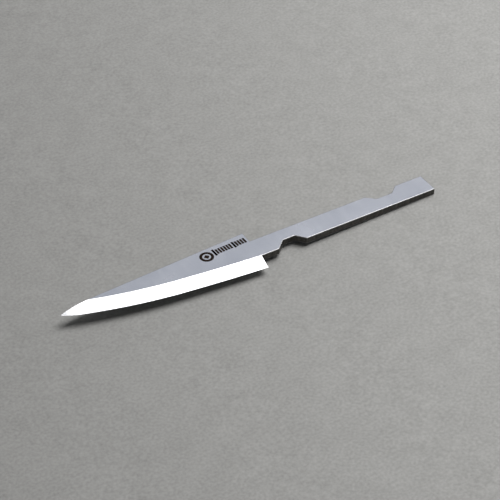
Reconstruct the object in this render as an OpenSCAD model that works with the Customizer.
// Knife blade blank: a ground blade and its notched flat tang, in one piece of steel.
// A maker sets the tang in a handle of wood or resin, up to the shoulder.
//
// It lies flat on z = 0, with the origin under the middle of its outline.
// +X runs along the tang, +Y towards the spine and +Z up through the stock.
// The outline is drawn with x = 0 at the shoulder and y = 0 on the tang's lower edge.

/* [Stock] */
// Thickness of the steel
stock_t = 2.7; // [1.5:0.1:4]

/* [Blade] */
// From the shoulder, where the handle ends, to the point
blade_l = 81; // [65:1:110]
// Rise of the spine above the tang, at the shoulder
shoulder_h = 5.5; // [4:0.1:8]
// Fall of the spine towards the point, in degrees
spine_fall = 3; // [2:0.1:4]
// Length of the rounded front end of the spine
nose_l = 8.8; // [6:0.1:14]
// Drop of the spine over that rounded end
nose_drop = 1.3; // [1.2:0.05:2]
// How far the heel hangs below the tang
heel_drop = 5.9; // [3:0.05:8]
// From the shoulder to the top of the heel's rear edge
heel_set = 0.4; // [0.2:0.1:4]
// Lean of the heel's rear edge, in degrees
heel_lean = 7; // [0:0.5:15]

/* [Cutting edge] */
// How much flatter the edge is at the heel than a straight line from heel to point, in degrees
heel_flat = 7; // [6:0.1:8]
// How much steeper it is than that line where the belly meets the nose, in degrees
belly_steep = 7.3; // [6.5:0.1:9]
// How much steeper it is than that line at the very point, in degrees
point_steep = 24.7; // [20:0.1:30]
// Radius of the edge round the nose
edge_nose_r = 25; // [10:0.5:30]
// Width of the grind on each side, square to the edge
grind_w = 6.1; // [4:0.05:9]
// Thickness left along the edge, before honing
edge_t = 0.05; // [0.02:0.01:0.2]

/* [Tang] */
// From the shoulder to the tang's end
tang_l = 79; // [60:1:110]
// Width of the tang
tang_w = 9.7; // [8:0.1:14]
// Radius of the two corners at its end
end_r = 0.3; // [0.1:0.1:2]

/* [Front notch, in the lower edge] */
// From the shoulder to the notch
front_set = 7.2; // [4:0.1:14]
// Length of its mouth
front_mouth = 12.4; // [11:0.1:18]
// Depth of the notch
front_depth = 3.75; // [2:0.05:4.5]
// Slope of its wall near the blade, in degrees
front_slope_a = 42; // [38:1:60]
// Slope of its wall near the tang's end, in degrees
front_slope_b = 50; // [38:1:60]
// Radius at its mouth
front_mouth_r = 0.5; // [0.1:0.1:1]
// Radius at its root
front_root_r = 0.8; // [0.2:0.1:1.5]

/* [Rear notch, in the upper edge] */
// From the notch to the tang's end
rear_set = 12.5; // [8:0.1:20]
// Length of its mouth
rear_mouth = 14.1; // [12:0.1:18]
// Depth of the notch
rear_depth = 3.2; // [2:0.05:4]
// Slope of both its walls, in degrees
rear_slope = 42; // [38:1:60]
// Radius at its mouth
rear_mouth_r = 1; // [0.1:0.1:1.5]
// Radius at its root
rear_root_r = 2.2; // [0.2:0.1:2.5]

/* [Hidden] */
$fn = 180;
corner_steps = 6; // straight steps round each rounded corner
nose_steps = 10;  // straight steps round the nose of the spine
past_nose = 1.15; // how far those steps run, where 1 ends at the point
spare = 2;        // steel left outside the cutting edge, for the grind to take off
flatter = 0.4;    // degrees taken off each end of each arc of the cutting edge
steel = "silver";

// A direction that rises by a degrees as it runs towards the point, and the one square to it,
// which points into the blade.
function along(a) = [-cos(a), sin(a)];
function inward(a) = [sin(a), cos(a)];
// The direction square to a line that falls by a degrees as it runs towards the point.
function square_up(a) = [-sin(a), cos(a)];

// The spine: straight from its corner, then one arc down to the point.
spine_y = tang_w + shoulder_h;
nose_start = [-(blade_l - nose_l), spine_y - (blade_l - nose_l) * tan(spine_fall)];
point = nose_start - [nose_l, nose_drop];
spine_turn = 2 * (atan2(nose_drop, nose_l) - spine_fall);
spine_r = norm(point - nose_start) / (2 * sin(spine_turn / 2));
function on_nose(share) = nose_start
    + spine_r * (square_up(spine_fall + spine_turn * share) - square_up(spine_fall));

// The cutting edge: two arcs from the heel to the nose, then the arc of the nose. They are worked
// out as arcs that touch. Each is then drawn flatter by a slight turn at both its ends, so that
// the cones ground along them cross cleanly.
heel = [-heel_set - heel_drop * tan(heel_lean), -heel_drop];
mean_rise = atan2(point[1] - heel[1], heel[0] - point[0]);
edge_heel_rise = mean_rise - heel_flat;
edge_belly_rise = mean_rise + belly_steep;
edge_point_rise = mean_rise + point_steep;
nose_joint = point + edge_nose_r * (inward(edge_point_rise) - inward(edge_belly_rise));
reach = nose_joint - heel;
both = along(edge_heel_rise) + along(edge_belly_rise);
apart = 2 - 2 * along(edge_heel_rise) * along(edge_belly_rise);
lead = (sqrt(pow(reach * both, 2) + apart * reach * reach) - reach * both) / apart;
belly_joint = (heel + nose_joint + lead * (along(edge_heel_rise) - along(edge_belly_rise))) / 2;
belly_joint_rise = 2 * atan2(belly_joint[1] - heel[1], heel[0] - belly_joint[0]) - edge_heel_rise;
heel_turn = belly_joint_rise - edge_heel_rise - 2 * flatter;
belly_turn = edge_belly_rise - belly_joint_rise - 2 * flatter;
nose_turn = edge_point_rise - edge_belly_rise - 2 * flatter;
heel_r = norm(belly_joint - heel) / (2 * sin(heel_turn / 2));
belly_r = norm(nose_joint - belly_joint) / (2 * sin(belly_turn / 2));
nose_r = norm(point - nose_joint) / (2 * sin(nose_turn / 2));

// Each corner of an outline is [x, y, radius], and becomes an arc where the radius isn't 0.
function rounded(corners) = [for (i = [0 : len(corners) - 1])
    let (
        at = [corners[i][0], corners[i][1]],
        r = corners[i][2],
        before = corners[(i + len(corners) - 1) % len(corners)],
        after = corners[(i + 1) % len(corners)],
        u = ([before[0], before[1]] - at) / norm([before[0], before[1]] - at),
        v = ([after[0], after[1]] - at) / norm([after[0], after[1]] - at),
        half = acos(u * v) / 2,
        centre = at + (u + v) / norm(u + v) * r / sin(half),
        from = at + u * r / tan(half) - centre,
        to = at + v * r / tan(half) - centre,
        turn = atan2(from[0] * to[1] - from[1] * to[0], from * to)
    )
    each r == 0 ? [at] : [for (k = [0 : corner_steps]) let (a = turn * k / corner_steps)
        centre + [from[0] * cos(a) - from[1] * sin(a), from[0] * sin(a) + from[1] * cos(a)]]];

// The whole blank before grinding, with spare steel below the cutting edge.
module outline() {
    front_end = front_set + front_mouth;
    rear_end = tang_l - rear_set;
    rear_start = rear_end - rear_mouth;
    rear_run = rear_depth / tan(rear_slope);
    low = -heel_drop - spare;
    polygon(concat(
        rounded([
            [-heel_set, 0, 0],
            [front_set, 0, front_mouth_r],
            [front_set + front_depth / tan(front_slope_a), front_depth, front_root_r],
            [front_end - front_depth / tan(front_slope_b), front_depth, front_root_r],
            [front_end, 0, front_mouth_r],
            [tang_l, 0, end_r],
            [tang_l, tang_w, end_r],
            [rear_end, tang_w, rear_mouth_r],
            [rear_end - rear_run, tang_w - rear_depth, rear_root_r],
            [rear_start + rear_run, tang_w - rear_depth, rear_root_r],
            [rear_start, tang_w, rear_mouth_r],
            [0, tang_w, 0],
            [0, spine_y, 0]
        ]),
        [for (k = [0 : nose_steps]) on_nose(past_nose * k / nose_steps)],
        [
            [on_nose(past_nose)[0], low],
            [-heel_set + low * tan(heel_lean), low]
        ]
    ));
}

// What the grind takes off along one arc of the edge: a cone above and a cone below, which meet
// at the thickness left along the edge. The arc starts at a place on the edge with a rise there,
// and turns by so many degrees. The grind runs on past both its ends.
module grind(at, rise, r, turn, before, after) {
    half_edge = edge_t / 2;
    past = 1.5; // how many times the depth of the grind each cone is long
    high = half_edge + past * (stock_t / 2 - half_edge);
    inner_r = r - past * grind_w;
    outer_r = r + spine_y + heel_drop + spare;
    centre = at + r * inward(rise);
    translate([centre[0], centre[1], stock_t / 2])
        rotate([0, 0, 270 - rise - turn - after])
            rotate_extrude(angle = before + turn + after, $fn = 720)
                polygon([
                    [inner_r, high], [r, half_edge], [r, -half_edge],
                    [inner_r, -high], [outer_r, -high], [outer_r, high]
                ]);
}

// How far, in degrees, a tighter arc can run back over the wider one behind it and stay outside it.
function lap(r, wider_r) = sin(2 * flatter) / (1 / r - 1 / wider_r) / r * 180 / PI;

// Everything in front of the heel's rear edge, where the grind starts.
module before_heel() {
    translate([0, 0, -stock_t])
        linear_extrude(3 * stock_t)
            polygon([
                [-heel_set + grind_w * tan(heel_lean), grind_w],
                [-heel_set, 0],
                [spare, -heel_drop - 2 * spare],
                [-blade_l, -heel_drop - 2 * spare],
                [-blade_l, grind_w]
            ]);
}

module blade_blank() {
    run_on = 2;     // degrees that the first two arcs run on over the next
    past_heel = 1;  // degrees that the first arc starts behind the heel
    past_point = 6; // degrees that the last arc runs past the point
    color(steel)
        translate([(blade_l - tang_l) / 2, -(spine_y - heel_drop) / 2, 0])
            difference() {
                linear_extrude(stock_t) outline();
                intersection() {
                    grind(heel, edge_heel_rise + flatter, heel_r, heel_turn, past_heel, run_on);
                    before_heel();
                }
                grind(belly_joint, belly_joint_rise + flatter, belly_r, belly_turn, lap(belly_r, heel_r), run_on);
                grind(nose_joint, edge_belly_rise + flatter, nose_r, nose_turn, lap(nose_r, belly_r), past_point);
            }
}

blade_blank();
